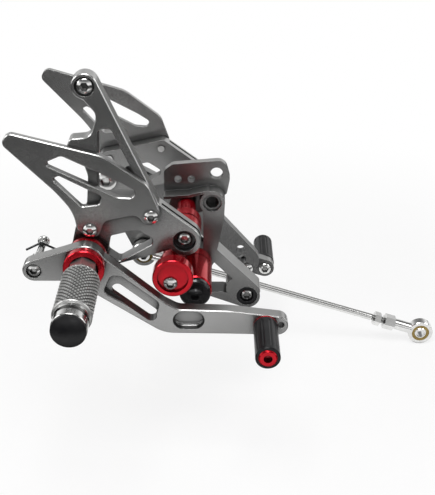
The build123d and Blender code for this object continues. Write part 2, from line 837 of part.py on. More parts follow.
# Gear rod
rod_turn = atan2(eye_front_z - eye_rear_z, eye_front_x - eye_rear_x)
rod_span = hypot(eye_front_z - eye_rear_z, eye_front_x - eye_rear_x)
rod_dir = (cos(rod_turn), 0, sin(rod_turn))
rear_eye = Plane(origin=(eye_rear_x, -rod_w, eye_rear_z), x_dir=rod_dir, z_dir=(0, -1, 0))
front_dir = (-rod_dir[0], 0, -rod_dir[2])
front_eye = Plane(origin=(eye_front_x, -rod_w, eye_front_z), x_dir=front_dir, z_dir=(0, -1, 0))
along = Rot(0, 90, 0)


def rod_end():
    """A rod end, with its eye at the origin and its shank along X."""
    piece = Cylinder(eye_r, eye_t)
    piece = chamfer(piece.edges().filter_by(GeomType.CIRCLE), 0.6)
    piece += along * Cylinder(rod_shank_r, rod_end_l - rod_hex_l, align=MIN)
    hexagon = extrude(RegularPolygon(rod_hex / 2, 6, major_radius=False), rod_hex_l)
    piece += Pos(rod_end_l - rod_hex_l, 0, 0) * along * hexagon
    piece -= Cylinder(race_r + fit, 2 * ball_w)
    bore = along * Cylinder(rod_thread_r + fit, rod_thread_in, align=MIN)
    return piece - Pos(rod_end_l - rod_thread_in, 0, 0) * bore


def rod_race():
    """The brass race in a rod end."""
    return Cylinder(race_r, eye_t) - Sphere(ball_r + fit)


def rod_ball():
    """The bored ball of a rod end."""
    return (Sphere(ball_r) & Cylinder(ball_r + 1, ball_w)) - Cylinder(ball_bore_r, ball_w)


def jam_nut():
    """The nut behind a rod end."""
    nut = extrude(RegularPolygon(nut_hex / 2, 6, major_radius=False), nut_t)
    nut -= Cylinder(rod_thread_r + fit, nut_t, align=MIN)
    return Pos(rod_end_l + nut_gap, 0, 0) * along * nut


def gear_rod():
    """The rod between the two rod ends."""
    thread = rod_end_l + nut_gap + nut_t + 3
    piece = Pos(thread, 0, 0) * along * Cylinder(rod_r, rod_span - 2 * thread, align=MIN)
    start = rod_end_l - rod_thread_in + 0.5
    piece += Pos(start, 0, 0) * along * Cylinder(rod_thread_r, rod_span - 2 * start, align=MIN)
    return piece


# Assembly
shift_end = lever_out + holder_t
boss_bolt_l = boss_floor - bracket_back - 1
stop_seat = lever_out - cam_recess
post_seat = arm_front + post_l + washer_t
low_seat = arm_front - low_bore_depth
pieces = {
    "right_hanger": right_hanger(),
    "right_heel_guard": heel_guard(),
    "right_guard_bolts": guard_bolts(),
    "strut_bolt": frame_bolt(strut_x, strut_z, -strut_bore_depth, -hanger_t, strut_head_r),
    "boss_bolt": screw(boss_x, boss_z, boss_floor, m8_r, boss_bolt_l, m8_head_r, m8_head_h, m8_socket),
    "boss_ring": bore_ring(boss_x, boss_z, boss_floor, boss_bore_depth),
    "hanger_standoff": hanger_standoff(),
    "frame_bracket": frame_bracket(),
    "bracket_bolt": frame_bolt(low_x, low_z, low_seat, bracket_back, m8_head_r),
    "bracket_ring": bore_ring(low_x, low_z, low_seat, low_bore_depth),
    "spring_post": spring_post(),
    "spring_post_washer": post_washer(),
    "spring_post_bolt": screw(
        post_x, post_z, post_seat, m8_r, post_seat - bracket_back - 1, cap_head_r, cap_head_h, cap_socket,
        dome=cap_dome_share,
    ),
    "stop_post": stop_post(),
    "stop_cam": stop_cam(),
    "stop_bolt": screw(
        stop_x, stop_z, stop_seat, m6_r, stop_seat - bracket_back - 1, m6_head_r, m6_head_h, m6_socket
    ),
    "brake_pivot_bush": pivot_bush(),
    "brake_pivot_ring": pivot_ring(),
    "right_spindle": spindle(),
    "right_peg_barrel": peg_barrel(),
    "right_peg_collar": peg_collar(),
    "right_peg_cap": peg_cap(),
    "brake_lever": brake_lever(),
    "brake_toe_ring": toe_ring(toe_x, toe_z, lever_out),
    "brake_toe_sleeve": toe_sleeve(toe_x, toe_z, lever_out),
    "brake_toe_plug": toe_plug(toe_x, toe_z, lever_out),
    "brake_toe_bolt": toe_bolt(toe_x, toe_z, lever_out, lever_t - m8_head_h),
    "brake_tail_bolt": tail_bolt(),
    "brake_rod_pin": brake_rod_pin(),
    "cotter_pin": cotter_pin(),
    "left_hanger": left_hanger(),
    "left_heel_guard": left_fixed(heel_guard()),
    "left_guard_bolts": left_fixed(guard_bolts()),
    "gear_pivot_bush": left_fixed(pivot_bush()),
    "gear_pivot_ring": left_fixed(pivot_ring()),
    "left_spindle": left_fixed(spindle()),
    "left_peg_barrel": left_fixed(peg_barrel()),
    "left_peg_collar": left_fixed(peg_collar()),
    "left_peg_cap": left_fixed(peg_cap()),
    "gear_lever": mirrored(gear_lever()),
    "toe_holder": mirrored(toe_holder()),
    "holder_screw": mirrored(holder_screw()),
    "gear_toe_ring": mirrored(toe_ring(gear_toe_x, gear_toe_z, shift_end)),
    "gear_toe_sleeve": mirrored(toe_sleeve(gear_toe_x, gear_toe_z, shift_end)),
    "gear_toe_plug": mirrored(toe_plug(gear_toe_x, gear_toe_z, shift_end)),
    "gear_toe_bolt": mirrored(toe_bolt(gear_toe_x, gear_toe_z, shift_end, holder_t)),
    "rod_bolt": mirrored(rod_bolt()),
    "rear_rod_end": mirrored(rear_eye * rod_end()),
    "rear_race": mirrored(rear_eye * rod_race()),
    "rear_ball": mirrored(rear_eye * rod_ball()),
    "rear_jam_nut": mirrored(rear_eye * jam_nut()),
    "gear_rod": mirrored(rear_eye * gear_rod()),
    "front_jam_nut": mirrored(front_eye * jam_nut()),
    "front_rod_end": mirrored(front_eye * rod_end()),
    "front_race": mirrored(front_eye * rod_race()),
    "front_ball": mirrored(front_eye * rod_ball()),
}

# Files
to_origin = Pos(-upper_x, plate_front, -upper_z)
for name, piece in pieces.items():
    export_step(to_origin * piece, f"parts/{name}.step")
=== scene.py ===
"""Studio scene of a pair of motorcycle rear-set footrests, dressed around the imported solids."""
from __future__ import annotations

import json
import logging
import math
from dataclasses import dataclass
from enum import Enum
from typing import Any, Iterable, Union

import bmesh
import bpy
from mathutils import Matrix, Vector

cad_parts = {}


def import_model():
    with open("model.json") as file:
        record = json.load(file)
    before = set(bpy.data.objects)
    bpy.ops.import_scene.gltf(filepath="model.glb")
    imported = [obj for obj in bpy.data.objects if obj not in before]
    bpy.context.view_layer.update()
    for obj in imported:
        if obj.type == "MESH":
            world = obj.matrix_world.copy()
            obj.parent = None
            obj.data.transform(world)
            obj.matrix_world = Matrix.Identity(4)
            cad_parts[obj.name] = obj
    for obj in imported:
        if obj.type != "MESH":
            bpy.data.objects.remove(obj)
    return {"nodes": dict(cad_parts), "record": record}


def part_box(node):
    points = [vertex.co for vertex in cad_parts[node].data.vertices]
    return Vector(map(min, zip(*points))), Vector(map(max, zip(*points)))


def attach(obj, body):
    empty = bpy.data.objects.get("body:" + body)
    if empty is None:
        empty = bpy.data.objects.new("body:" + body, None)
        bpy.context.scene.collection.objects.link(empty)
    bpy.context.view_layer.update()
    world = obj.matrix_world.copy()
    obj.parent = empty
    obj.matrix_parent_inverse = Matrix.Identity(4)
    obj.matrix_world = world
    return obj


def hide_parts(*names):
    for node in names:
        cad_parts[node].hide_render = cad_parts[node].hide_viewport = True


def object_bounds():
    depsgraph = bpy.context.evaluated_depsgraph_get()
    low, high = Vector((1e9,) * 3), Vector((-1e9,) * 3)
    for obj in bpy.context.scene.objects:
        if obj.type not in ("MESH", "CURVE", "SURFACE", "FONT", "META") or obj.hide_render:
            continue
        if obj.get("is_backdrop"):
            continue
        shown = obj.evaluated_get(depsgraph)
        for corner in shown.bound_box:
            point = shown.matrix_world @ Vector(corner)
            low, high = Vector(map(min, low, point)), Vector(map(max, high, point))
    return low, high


LOG = logging.getLogger("rear_sets")
Colour = tuple[float, float, float, float]
Stretch = tuple[float, float, float]
MM = 0.001
# Points closer than this, in metres, are welded into one.
WELD = 1e-6
# Points closer than this to a cutting plane lie in it.
NEAR_PLANE = 1e-7
# The part of a noise over which a tone changes.
TONE = (0.3, 0.7)
ROOT_BODY = "rear_set_pair"
ROD_BODY = "gear_rod_body"


class Slot(Enum):
    """The finishes of the part, by their material slot."""

    TITANIUM = "titanium_grey"
    RED = "red_anodised"
    STAINLESS = "stainless"
    PEG = "peg_alloy"
    POLISHED = "polished_alloy"
    BLACK_OXIDE = "black_oxide"
    BLACK_PLASTIC = "black_plastic"
    BRASS = "brass"


class Side(Enum):
    """The two sides of the motorcycle, with the way that their pegs point along Y."""

    RIGHT = -1
    LEFT = 1


class Signal:
    """A shader socket that takes part in arithmetic."""

    def __init__(self, shader: "Shader", socket: Any) -> None:
        """Wraps one output socket of a shader."""
        self.shader = shader
        self.socket = socket

    def _maths(self, operation: str, first: Any, second: Any) -> "Signal":
        """Adds a Math node.

        Args:
            operation: the node's operation.
            first: a signal or a number.
            second: a signal or a number.

        Returns:
            The node's result.
        """
        return self.shader.node("ShaderNodeMath", {"operation": operation}, {0: first, 1: second}).out()

    def __add__(self, other: Any) -> "Signal":
        """Sum."""
        return self._maths("ADD", self, other)

    def __radd__(self, other: Any) -> "Signal":
        """Sum, with the signal second."""
        return self._maths("ADD", other, self)

    def __sub__(self, other: Any) -> "Signal":
        """Difference."""
        return self._maths("SUBTRACT", self, other)

    def __rsub__(self, other: Any) -> "Signal":
        """Difference, with the signal second."""
        return self._maths("SUBTRACT", other, self)

    def __mul__(self, other: Any) -> "Signal":
        """Product."""
        return self._maths("MULTIPLY", self, other)

    def __rmul__(self, other: Any) -> "Signal":
        """Product, with the signal second."""
        return self._maths("MULTIPLY", other, self)

    def clamped(self) -> "Signal":
        """The signal kept between 0 and 1."""
        return self.shader.node("ShaderNodeClamp", {}, {"Value": self}).out()

    def step(self, low: float, high: float) -> "Signal":
        """A soft step of the signal.

        Args:
            low: where the step starts.
            high: where it ends.

        Returns:
            0 below low, 1 above high.
        """
        values = {"Value": self, "From Min": low, "From Max": high}
        return self.shader.node("ShaderNodeMapRange", {"interpolation_type": "SMOOTHSTEP"}, values).out()


class Step:
    """One node that was added to a shader."""

    def __init__(self, shader: "Shader", node: Any) -> None:
        """Keeps the node with its shader."""
        self.shader = shader
        self.node = node

    def out(self, name: Union[str, int] = 0) -> Signal:
        """One output of the node, by name or number."""
        return Signal(self.shader, self.node.outputs[name])


@dataclass(frozen=True)
class Grain:
    """A noise pattern: features per metre, octaves and the scale of each axis."""

    scale: float
    detail: float
    stretch: Stretch = (1.0, 1.0, 1.0)


class Shader:
    """The nodes of a material or of the world."""

    # Socket numbers of a Mix node that mixes colours.
    MIX_FACTOR, MIX_FIRST, MIX_SECOND, MIX_RESULT = 0, 6, 7, 2
    EDGE_SAMPLES = 6
    OPEN_SAMPLES = 8
    # Square of the normal's Y, from a wall to a face across Y.
    WALL_TILT = (0.1, 0.35)

    def __init__(self, owner: Any, surface: str) -> None:
        """Takes the node tree of its owner.

        Args:
            owner: a material or a world.
            surface: the name of the node that the shader feeds.
        """
        owner.use_nodes = True
        self.owner = owner
        self.tree = owner.node_tree
        self.surface = self.tree.nodes[surface]

    @classmethod
    def material(cls, name: str) -> "Shader":
        """A new material with a Principled surface."""
        return cls(bpy.data.materials.new(name), "Principled BSDF")

    @classmethod
    def world(cls, name: str) -> "Shader":
        """A new world."""
        return cls(bpy.data.worlds.new(name), "Background")

    def node(self, kind: str, settings: dict[str, Any], values: dict[Any, Any]) -> Step:
        """Adds a node.

        Args:
            kind: the node's type.
            settings: its properties.
            values: numbers, colours or signals for its input sockets.

        Returns:
            The new node.
        """
        made = self.tree.nodes.new(kind)
        for key, value in settings.items():
            setattr(made, key, value)
        for key, value in values.items():
            self.feed(made.inputs[key], value)
        return Step(self, made)

    def feed(self, socket: Any, value: Any) -> None:
        """Links a signal to a socket, or sets a constant on it.

        Args:
            socket: the input socket.
            value: a signal or a plain value.
        """
        if isinstance(value, Signal):
            self.tree.links.new(value.socket, socket)
        else:
            socket.default_value = value

    def shine(self, **values: Any) -> None:
        """Feeds the surface, with underscores for the spaces in its socket names."""
        for key, value in values.items():
            self.feed(self.surface.inputs[key.replace("_", " ")], value)

    def place(self, scale: Stretch) -> Signal:
        """Object coordinates in metres, stretched by a scale."""
        coordinates = self.node("ShaderNodeTexCoord", {}, {}).out("Object")
        return self.node("ShaderNodeMapping", {}, {"Vector": coordinates, "Scale": scale}).out()

    def noise(self, grain: Grain) -> Signal:
        """Noise on Object coordinates.

        Args:
            grain: its pattern.

        Returns:
            A value from 0 to 1.
        """
        values = {"Vector": self.place(grain.stretch), "Scale": grain.scale, "Detail": grain.detail}
        return self.node("ShaderNodeTexNoise", {}, values).out()

    def mix(self, factor: Any, first: Any, second: Any) -> Signal:
        """Mixes two colours by a factor."""
        values = {self.MIX_FACTOR: factor, self.MIX_FIRST: first, self.MIX_SECOND: second}
        return self.node("ShaderNodeMix", {"data_type": "RGBA"}, values).out(self.MIX_RESULT)

    def bump(self, height: Signal, distance: float, strength: float, normal: Any = None) -> Signal:
        """A bumped normal.

        Args:
            height: the height from 0 to 1.
            distance: its depth in metres.
            strength: how much of it shows.
            normal: a normal to start from.

        Returns:
            The normal.
        """
        values = {"Height": height, "Distance": distance, "Strength": strength}
        if normal is not None:
            values["Normal"] = normal
        return self.node("ShaderNodeBump", {}, values).out()

    def rounded(self, radius: float) -> Signal:
        """A normal that rounds sharp edges."""
        return self.node("ShaderNodeBevel", {"samples": self.EDGE_SAMPLES}, {"Radius": radius}).out()

    def walls(self) -> Signal:
        """Finds the faces that stand along Y, where a cutter's side went.

        Returns:
            1 on such a face, 0 on a face across Y.
        """
        flat = self.node("ShaderNodeNewGeometry", {}, {}).out("True Normal")
        across = self.node("ShaderNodeSeparateXYZ", {}, {0: flat}).out("Y")
        return 1.0 - (across * across).step(*self.WALL_TILT)

    def openness(self, distance: float, low: float, high: float) -> Signal:
        """How open a point is, the mask of the painted shade in hollows.

        Args:
            distance: how far away a face still shuts it in.
            low: the open share that counts as shut.
            high: the open share that counts as free.

        Returns:
            0 where other faces closely shut the point in, 1 on a free face.
        """
        settings = {"samples": self.OPEN_SAMPLES}
        made = self.node("ShaderNodeAmbientOcclusion", settings, {"Distance": distance})
        return made.out("AO").step(low, high)

    def rays(self) -> tuple[Signal, Signal]:
        """Tells the kinds of ray apart.

        Returns:
            Whether a ray comes from the camera, and whether it is a mirrored or refracted one.
        """
        path = self.node("ShaderNodeLightPath", {}, {})
        mirrored = (path.out("Is Glossy Ray") + path.out("Is Transmission Ray")).clamped()
        return path.out("Is Camera Ray"), mirrored


@dataclass(frozen=True)
class PaintedShade:
    """Painted shade: a darker base colour where other faces shut a point in, standing for the shade that
    falls there.
    """

    colour: Colour
    reach: float
    shut: float = 0.2
    free: float = 0.85

    def over(self, shader: Shader, base: Signal) -> Signal:
        """A base colour that gives way to the painted shade colour where the point is shut in."""
        # Painted shade: the shade colour is mixed in by ambient occlusion.
        return shader.mix(shader.openness(self.reach, self.shut, self.free), self.colour, base)


@dataclass(frozen=True)
class Marks:
    """Fine marks in a surface, over edges that are a little round."""

    depth: float
    strength: float
    edge: float = 0.4 * MM

    def normal(self, shader: Shader, height: Signal) -> Signal:
        """The normal of a surface with these marks."""
        return shader.bump(height, self.depth, self.strength, shader.rounded(self.edge))


@dataclass(frozen=True)
class SatinAnodised:
    """Fine-blasted and anodised aluminium plate, with cutter marks left on its walls and painted shade in its
    hollows and between parts.
    """

    colour: Colour = (0.42, 0.42, 0.415, 1.0)
    pale: Colour = (0.47, 0.47, 0.465, 1.0)
    cut: Colour = (0.5, 0.5, 0.49, 1.0)
    # Painted shade: near-black within 8 mm of other faces, and a milder dark where other parts stand within
    # 150 mm.
    recess_shade: PaintedShade = PaintedShade((0.1, 0.1, 0.1, 1.0), 8.0 * MM)
    hollow_shade: PaintedShade = PaintedShade((0.12, 0.12, 0.12, 1.0), 150.0 * MM, shut=0.35, free=0.97)
    marks: Marks = Marks(depth=0.03 * MM, strength=0.3)
    clouds: Grain = Grain(30.0, 2.0)
    blast: Grain = Grain(4200.0, 2.0)
    cutter: Grain = Grain(1300.0, 1.0, (1.0, 0.04, 1.0))
    cloud_tone: float = 0.8
    blast_tone: float = 0.2
    cut_share: float = 0.7
    metallic: float = 0.95
    roughness: float = 0.22
    cloud_rough: float = 0.04
    blast_rough: float = 0.05
    wall_rough: float = 0.06
    blast_height: float = 0.4

    def material(self, name: str) -> bpy.types.Material:
        """Builds the finish.

        Args:
            name: the material's name.

        Returns:
            The material.
        """
        shader = Shader.material(name)
        clouds = shader.noise(self.clouds)
        blast = shader.noise(self.blast)
        cutter = shader.noise(self.cutter)
        walls = shader.walls()
        tone = (clouds * self.cloud_tone + blast * self.blast_tone).step(*TONE)
        base = shader.mix(tone, self.colour, self.pale)
        base = shader.mix(walls * cutter * self.cut_share, base, self.cut)
        # Painted shade in hollows and between parts, mixed into the base colour.
        base = self.recess_shade.over(shader, self.hollow_shade.over(shader, base))
        rough = self.roughness + clouds * self.cloud_rough + blast * self.blast_rough
        rough = rough + walls * self.wall_rough
        shader.shine(Base_Color=base, Metallic=self.metallic, Roughness=rough)
        shader.shine(Normal=self.marks.normal(shader, blast * self.blast_height + walls * cutter))
        return shader.owner


@dataclass(frozen=True)
class BrightRed:
    """Turned aluminium, dyed red and anodised."""

    colour: Colour = (0.58, 0.006, 0.017, 1.0)
    deep: Colour = (0.42, 0.002, 0.01, 1.0)
    # Painted shade: a near-black red where other faces stand within 10 mm.
    recess_shade: PaintedShade = PaintedShade((0.06, 0.001, 0.002, 1.0), 10.0 * MM)
    marks: Marks = Marks(depth=0.02 * MM, strength=0.35)
    lathe: Grain = Grain(1500.0, 2.0, (0.05, 1.0, 0.05))
    clouds: Grain = Grain(60.0, 2.0)
    cloud_tone: float = 0.6
    lathe_tone: float = 0.4
    metallic: float = 0.75
    roughness: float = 0.14
    lathe_rough: float = 0.08
    coat: float = 0.12
    coat_roughness: float = 0.08

    def material(self, name: str) -> bpy.types.Material:
        """Builds the finish.

        Args:
            name: the material's name.

        Returns:
            The material.
        """
        shader = Shader.material(name)
        lathe = shader.noise(self.lathe)
        clouds = shader.noise(self.clouds)
        tone = (clouds * self.cloud_tone + lathe * self.lathe_tone).step(*TONE)
        # The base colour, with painted shade in hollows.
        base = self.recess_shade.over(shader, shader.mix(tone, self.deep, self.colour))
        rough = self.roughness + lathe * self.lathe_rough
        shader.shine(Base_Color=base, Metallic=self.metallic, Roughness=rough)
        shader.shine(Coat_Weight=self.coat, Coat_Roughness=self.coat_roughness)
        shader.shine(Normal=self.marks.normal(shader, lathe))
        return shader.owner


@dataclass(frozen=True)
class BrightMetal:
    """Steel, aluminium or brass with fine turning marks."""

    colour: Colour
    shade: Colour
    roughness: float
    # Painted shade: near black where other faces stand within 5 mm, as in bolt sockets.
    recess_shade: PaintedShade = PaintedShade((0.05, 0.05, 0.05, 1.0), 5.0 * MM)
    lathe: Grain = Grain(1800.0, 2.0, (0.2, 1.0, 0.2))
    clouds: Grain = Grain(90.0, 3.0)
    lathe_tone: float = 0.4
    cloud_tone: float = 0.6
    metallic: float = 1.0
    lathe_rough: float = 0.06
    cloud_rough: float = 0.05
    lathe_depth: float = 0.01 * MM
    lathe_strength: float = 0.25

    def material(self, name: str) -> bpy.types.Material:
        """Builds the finish.

        Args:
            name: the material's name.

        Returns:
            The material.
        """
        shader = Shader.material(name)
        lathe = shader.noise(self.lathe)
        clouds = shader.noise(self.clouds)
        tone = (lathe * self.lathe_tone + clouds * self.cloud_tone).step(*TONE)
        # The base colour, with painted shade in sockets and hollows.
        base = self.recess_shade.over(shader, shader.mix(tone, self.shade, self.colour))
        rough = self.roughness + lathe * self.lathe_rough + clouds * self.cloud_rough
        shader.shine(Base_Color=base, Metallic=self.metallic, Roughness=rough)
        shader.shine(Normal=shader.bump(lathe, self.lathe_depth, self.lathe_strength))
        return shader.owner


@dataclass(frozen=True)
class KnurledMetal:
    """Aluminium peg whose knurling grooves are darkened by their depth: painted shade, with some patchy dirt.
    """

    crest: Colour = (0.52, 0.52, 0.51, 1.0)
    # The groove colour is painted shade deep in the knurling, mixed with patchy dirt.
    groove: Colour = (0.025, 0.025, 0.024, 1.0)
    clouds: Grain = Grain(140.0, 3.0)
    grain: Grain = Grain(2600.0, 2.0)
    groove_depth_shade: float = 1.1
    cloud_grime: float = 0.3
    shade_and_dirt_start: float = 0.15
    metallic: float = 0.9
    roughness: float = 0.3
    shade_and_dirt_rough: float = 0.25
    cloud_rough: float = 0.05
    grain_depth: float = 0.03 * MM
    grain_strength: float = 0.25

    def material(self, name: str) -> bpy.types.Material:
        """Builds the finish.

        Args:
            name: the material's name.

        Returns:
            The material.
        """
        shader = Shader.material(name)
        depth = shader.node("ShaderNodeAttribute", {"attribute_name": KnurledPeg.DEPTH}, {}).out("Fac")
        clouds = shader.noise(self.clouds)
        # Painted shade that deepens with the groove's depth, plus patchy dirt from the clouds noise.
        groove_shade_and_dirt = (depth * self.groove_depth_shade + clouds * self.cloud_grime - self.shade_and_dirt_start).clamped()
        base = shader.mix(groove_shade_and_dirt, self.crest, self.groove)
        rough = self.roughness + groove_shade_and_dirt * self.shade_and_dirt_rough + clouds * self.cloud_rough
        shader.shine(Base_Color=base, Metallic=self.metallic, Roughness=rough)
        shader.shine(Normal=shader.bump(shader.noise(self.grain), self.grain_depth, self.grain_strength))
        return shader.owner


@dataclass(frozen=True)
class Black:
    """Black oxide on steel, or moulded black plastic."""

    colour: Colour
    pale: Colour
    metallic: float
    roughness: float
    specular: float
    grain: Grain
    clouds: Grain = Grain(110.0, 2.0)
    pale_parts: tuple[float, float] = (0.35, 0.7)
    grain_rough: float = 0.1
    cloud_rough: float = 0.05
    marks: Marks = Marks(depth=0.03 * MM, strength=0.3)

    def material(self, name: str) -> bpy.types.Material:
        """Builds the finish.

        Args:
            name: the material's name.

        Returns:
            The material.
        """
        shader = Shader.material(name)
        grain = shader.noise(self.grain)
        clouds = shader.noise(self.clouds)
        tone = clouds.step(*self.pale_parts)
        rough = self.roughness + grain * self.grain_rough + clouds * self.cloud_rough
        shader.shine(Base_Color=shader.mix(tone, self.colour, self.pale), Metallic=self.metallic)
        shader.shine(Roughness=rough, Specular_IOR_Level=self.specular)
        shader.shine(Normal=self.marks.normal(shader, grain))
        return shader.owner


FINISHES: dict[Slot, Any] = {
    Slot.TITANIUM: SatinAnodised(),
    Slot.RED: BrightRed(),
    Slot.STAINLESS: BrightMetal(
        colour=(0.88, 0.88, 0.87, 1.0), shade=(0.76, 0.76, 0.75, 1.0), roughness=0.12,
    ),
    Slot.PEG: KnurledMetal(),
    Slot.POLISHED: BrightMetal(
        colour=(0.8, 0.8, 0.79, 1.0), shade=(0.68, 0.68, 0.67, 1.0), roughness=0.07,
    ),
    Slot.BLACK_OXIDE: Black(
        colour=(0.012, 0.012, 0.013, 1.0), pale=(0.025, 0.025, 0.027, 1.0),
        metallic=0.4, roughness=0.08, specular=0.8, grain=Grain(3000.0, 3.0),
    ),
    Slot.BLACK_PLASTIC: Black(
        colour=(0.008, 0.008, 0.009, 1.0), pale=(0.014, 0.014, 0.015, 1.0),
        metallic=0.0, roughness=0.22, specular=0.25, grain=Grain(1900.0, 3.0),
    ),
    Slot.BRASS: BrightMetal(
        colour=(0.36, 0.27, 0.1, 1.0), shade=(0.24, 0.17, 0.06, 1.0), roughness=0.22,
    ),
}


@dataclass
class Wardrobe:
    """The materials of the part, one for each slot."""

    record: dict[str, Any]

    def __post_init__(self) -> None:
        """Builds every finish once."""
        self.materials = {slot: FINISHES[slot].material(slot.value) for slot in Slot}

    def dress(self, thing: bpy.types.Object, slot: Slot) -> None:
        """Puts one finish on an object.

        Args:
            thing: the object.
            slot: its finish.
        """
        thing.data.materials.clear()
        thing.data.materials.append(self.materials[slot])

    def dress_nodes(self, nodes: dict[str, bpy.types.Object]) -> None:
        """Dresses every solid as the record says.

        Args:
            nodes: the solids by name.
        """
        for row in self.record["subparts"]:
            slot = Slot(row["material_slot"])
            self.dress(nodes[row["node"]], slot)
            LOG.info("solid %s wears %s", row["node"], slot.value)


def new_piece(name: str, mesh: bmesh.types.BMesh, smooth_angle: float) -> bpy.types.Object:
    """Makes an object from a bmesh, which it frees.

    Args:
        name: the object's name.
        mesh: its shape, in place.
        smooth_angle: faces that meet at less than this many degrees are smooth.

    Returns:
        The object.
    """
    bmesh.ops.recalc_face_normals(mesh, faces=mesh.faces)
    limit = math.radians(smooth_angle)
    for face in mesh.faces:
        face.smooth = True
    for edge in mesh.edges:
        edge.smooth = edge.calc_face_angle(0.0) < limit
    data = bpy.data.meshes.new(name)
    mesh.to_mesh(data)
    mesh.free()
    thing = bpy.data.objects.new(name, data)
    bpy.context.scene.collection.objects.link(thing)
    return thing


@dataclass
class KnurledPeg:
    """A foot peg with real knurling, in place of its plain solid."""

    DEPTH = "knurl_depth"
    TOUCH = 0.001 * MM
    # The edge of the profile that is the barrel's straight part.
    BARREL_EDGE = 4
    GROOVE_SLOPE = 3.2
    side: Side
    neck_radius: float = 10.6 * MM
    neck_length: float = 23.7 * MM
    neck_sides: int = 6
    barrel_radius: float = 13.9 * MM
    barrel_length: float = 50.5 * MM
    spigot_radius: float = 6.0 * MM
    corner: float = 0.9 * MM
    plain_end: float = 1.6 * MM
    groove: float = 1.0 * MM
    starts: int = 24
    pitch: float = 4.2 * MM
    steps_per_start: int = 8
    rows_per_pitch: int = 9
    smooth_angle: float = 50.0

    @property
    def node(self) -> str:
        """The solid that the peg stands for."""
        return f"{self.side.name.lower()}_peg_barrel"

    def build(self, wardrobe: Wardrobe, body: str) -> bpy.types.Object:
        """Spins the peg, cuts its knurling and puts it in place.

        Args:
            wardrobe: the finishes.
            body: the body that carries the peg.

        Returns:
            The peg.
        """
        low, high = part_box(self.node)
        axis = (low + high) / 2
        inner = high.y if self.side is Side.RIGHT else low.y
        outer = low.y if self.side is Side.RIGHT else high.y
        mesh = self._spun(abs(outer - inner))
        self._flatten_neck(mesh)
        self._knurl(mesh)
        turn = Matrix.Scale(self.side.value, 4, Vector((0, 1, 0)))
        place = Matrix.Translation(Vector((axis.x, inner, axis.z))) @ turn
        bmesh.ops.transform(mesh, matrix=place, verts=mesh.verts)
        peg = new_piece(f"{self.side.name.lower()}_knurled_peg", mesh, self.smooth_angle)
        wardrobe.dress(peg, Slot.PEG)
        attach(peg, body)
        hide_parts(self.node)
        return peg

    def _spun(self, length: float) -> bmesh.types.BMesh:
        """Spins the plain turned shape, fine enough for the knurling.

        Args:
            length: the peg's whole length.

        Returns:
            The shape along +Y.
        """
        start = self.neck_length
        end = start + self.barrel_length
        profile = [
            (0.0, 0.0),
            (self.neck_radius, 0.0),
            (self.neck_radius, start),
            (self.barrel_radius - self.corner, start),
            (self.barrel_radius, start + self.corner),
            (self.barrel_radius, end - self.corner),
            (self.barrel_radius - self.corner, end),
            (self.spigot_radius, end),
            (self.spigot_radius, length),
            (0.0, length),
        ]
        mesh = bmesh.new()
        points = [mesh.verts.new((radius, along, 0.0)) for radius, along in profile]
        edges = [mesh.edges.new(pair) for pair in zip(points, points[1:])]
        rows = round(self.barrel_length / self.pitch * self.rows_per_pitch)
        bmesh.ops.subdivide_edges(mesh, edges=[edges[self.BARREL_EDGE]], cuts=rows)
        bmesh.ops.spin(
            mesh, geom=mesh.verts[:] + mesh.edges[:], cent=(0, 0, 0), axis=(0, 1, 0), angle=math.tau,
            steps=self.starts * self.steps_per_start, use_merge=True,
        )
        bmesh.ops.remove_doubles(mesh, verts=mesh.verts, dist=WELD)
        return mesh

    def _flatten_neck(self, mesh: bmesh.types.BMesh) -> None:
        """Presses flats on the round neck, with a corner at its top.

        Args:
            mesh: the spun shape.
        """
        side = math.tau / self.neck_sides
        for vert in mesh.verts:
            radius = math.hypot(vert.co.x, vert.co.z)
            if vert.co.y > self.neck_length + self.TOUCH or abs(radius - self.neck_radius) > self.TOUCH:
                continue
            off_flat = (math.atan2(vert.co.z, vert.co.x) + side / 2) % side - side / 2
            narrower = math.cos(side / 2) / math.cos(off_flat)
            vert.co.x *= narrower
            vert.co.z *= narrower

    def _knurl(self, mesh: bmesh.types.BMesh) -> None:
        """Presses two families of slanted grooves into the barrel and keeps their depth as an attribute.

        Args:
            mesh: the spun shape.
        """
        layer = mesh.verts.layers.float.new(self.DEPTH)
        first = self.neck_length + self.plain_end
        last = self.neck_length + self.barrel_length - self.plain_end
        for vert in mesh.verts:
            radius = math.hypot(vert.co.x, vert.co.z)
            if not first < vert.co.y < last or radius < self.barrel_radius - self.TOUCH:
                continue
            around = math.atan2(vert.co.z, vert.co.x) / math.tau * self.starts
            along = (vert.co.y - first) / self.pitch
            depth = max(self._valley(around + along), self._valley(around - along))
            vert[layer] = depth
            narrower = 1.0 - depth * self.groove / self.barrel_radius
            vert.co.x *= narrower
            vert.co.z *= narrower

    @classmethod
    def _valley(cls, phase: float) -> float:
        """Depth of a groove, from 0 at its lip to 1 at its floor."""
        return max(0.0, 1.0 - cls.GROOVE_SLOPE * abs(phase % 1.0 - 0.5))


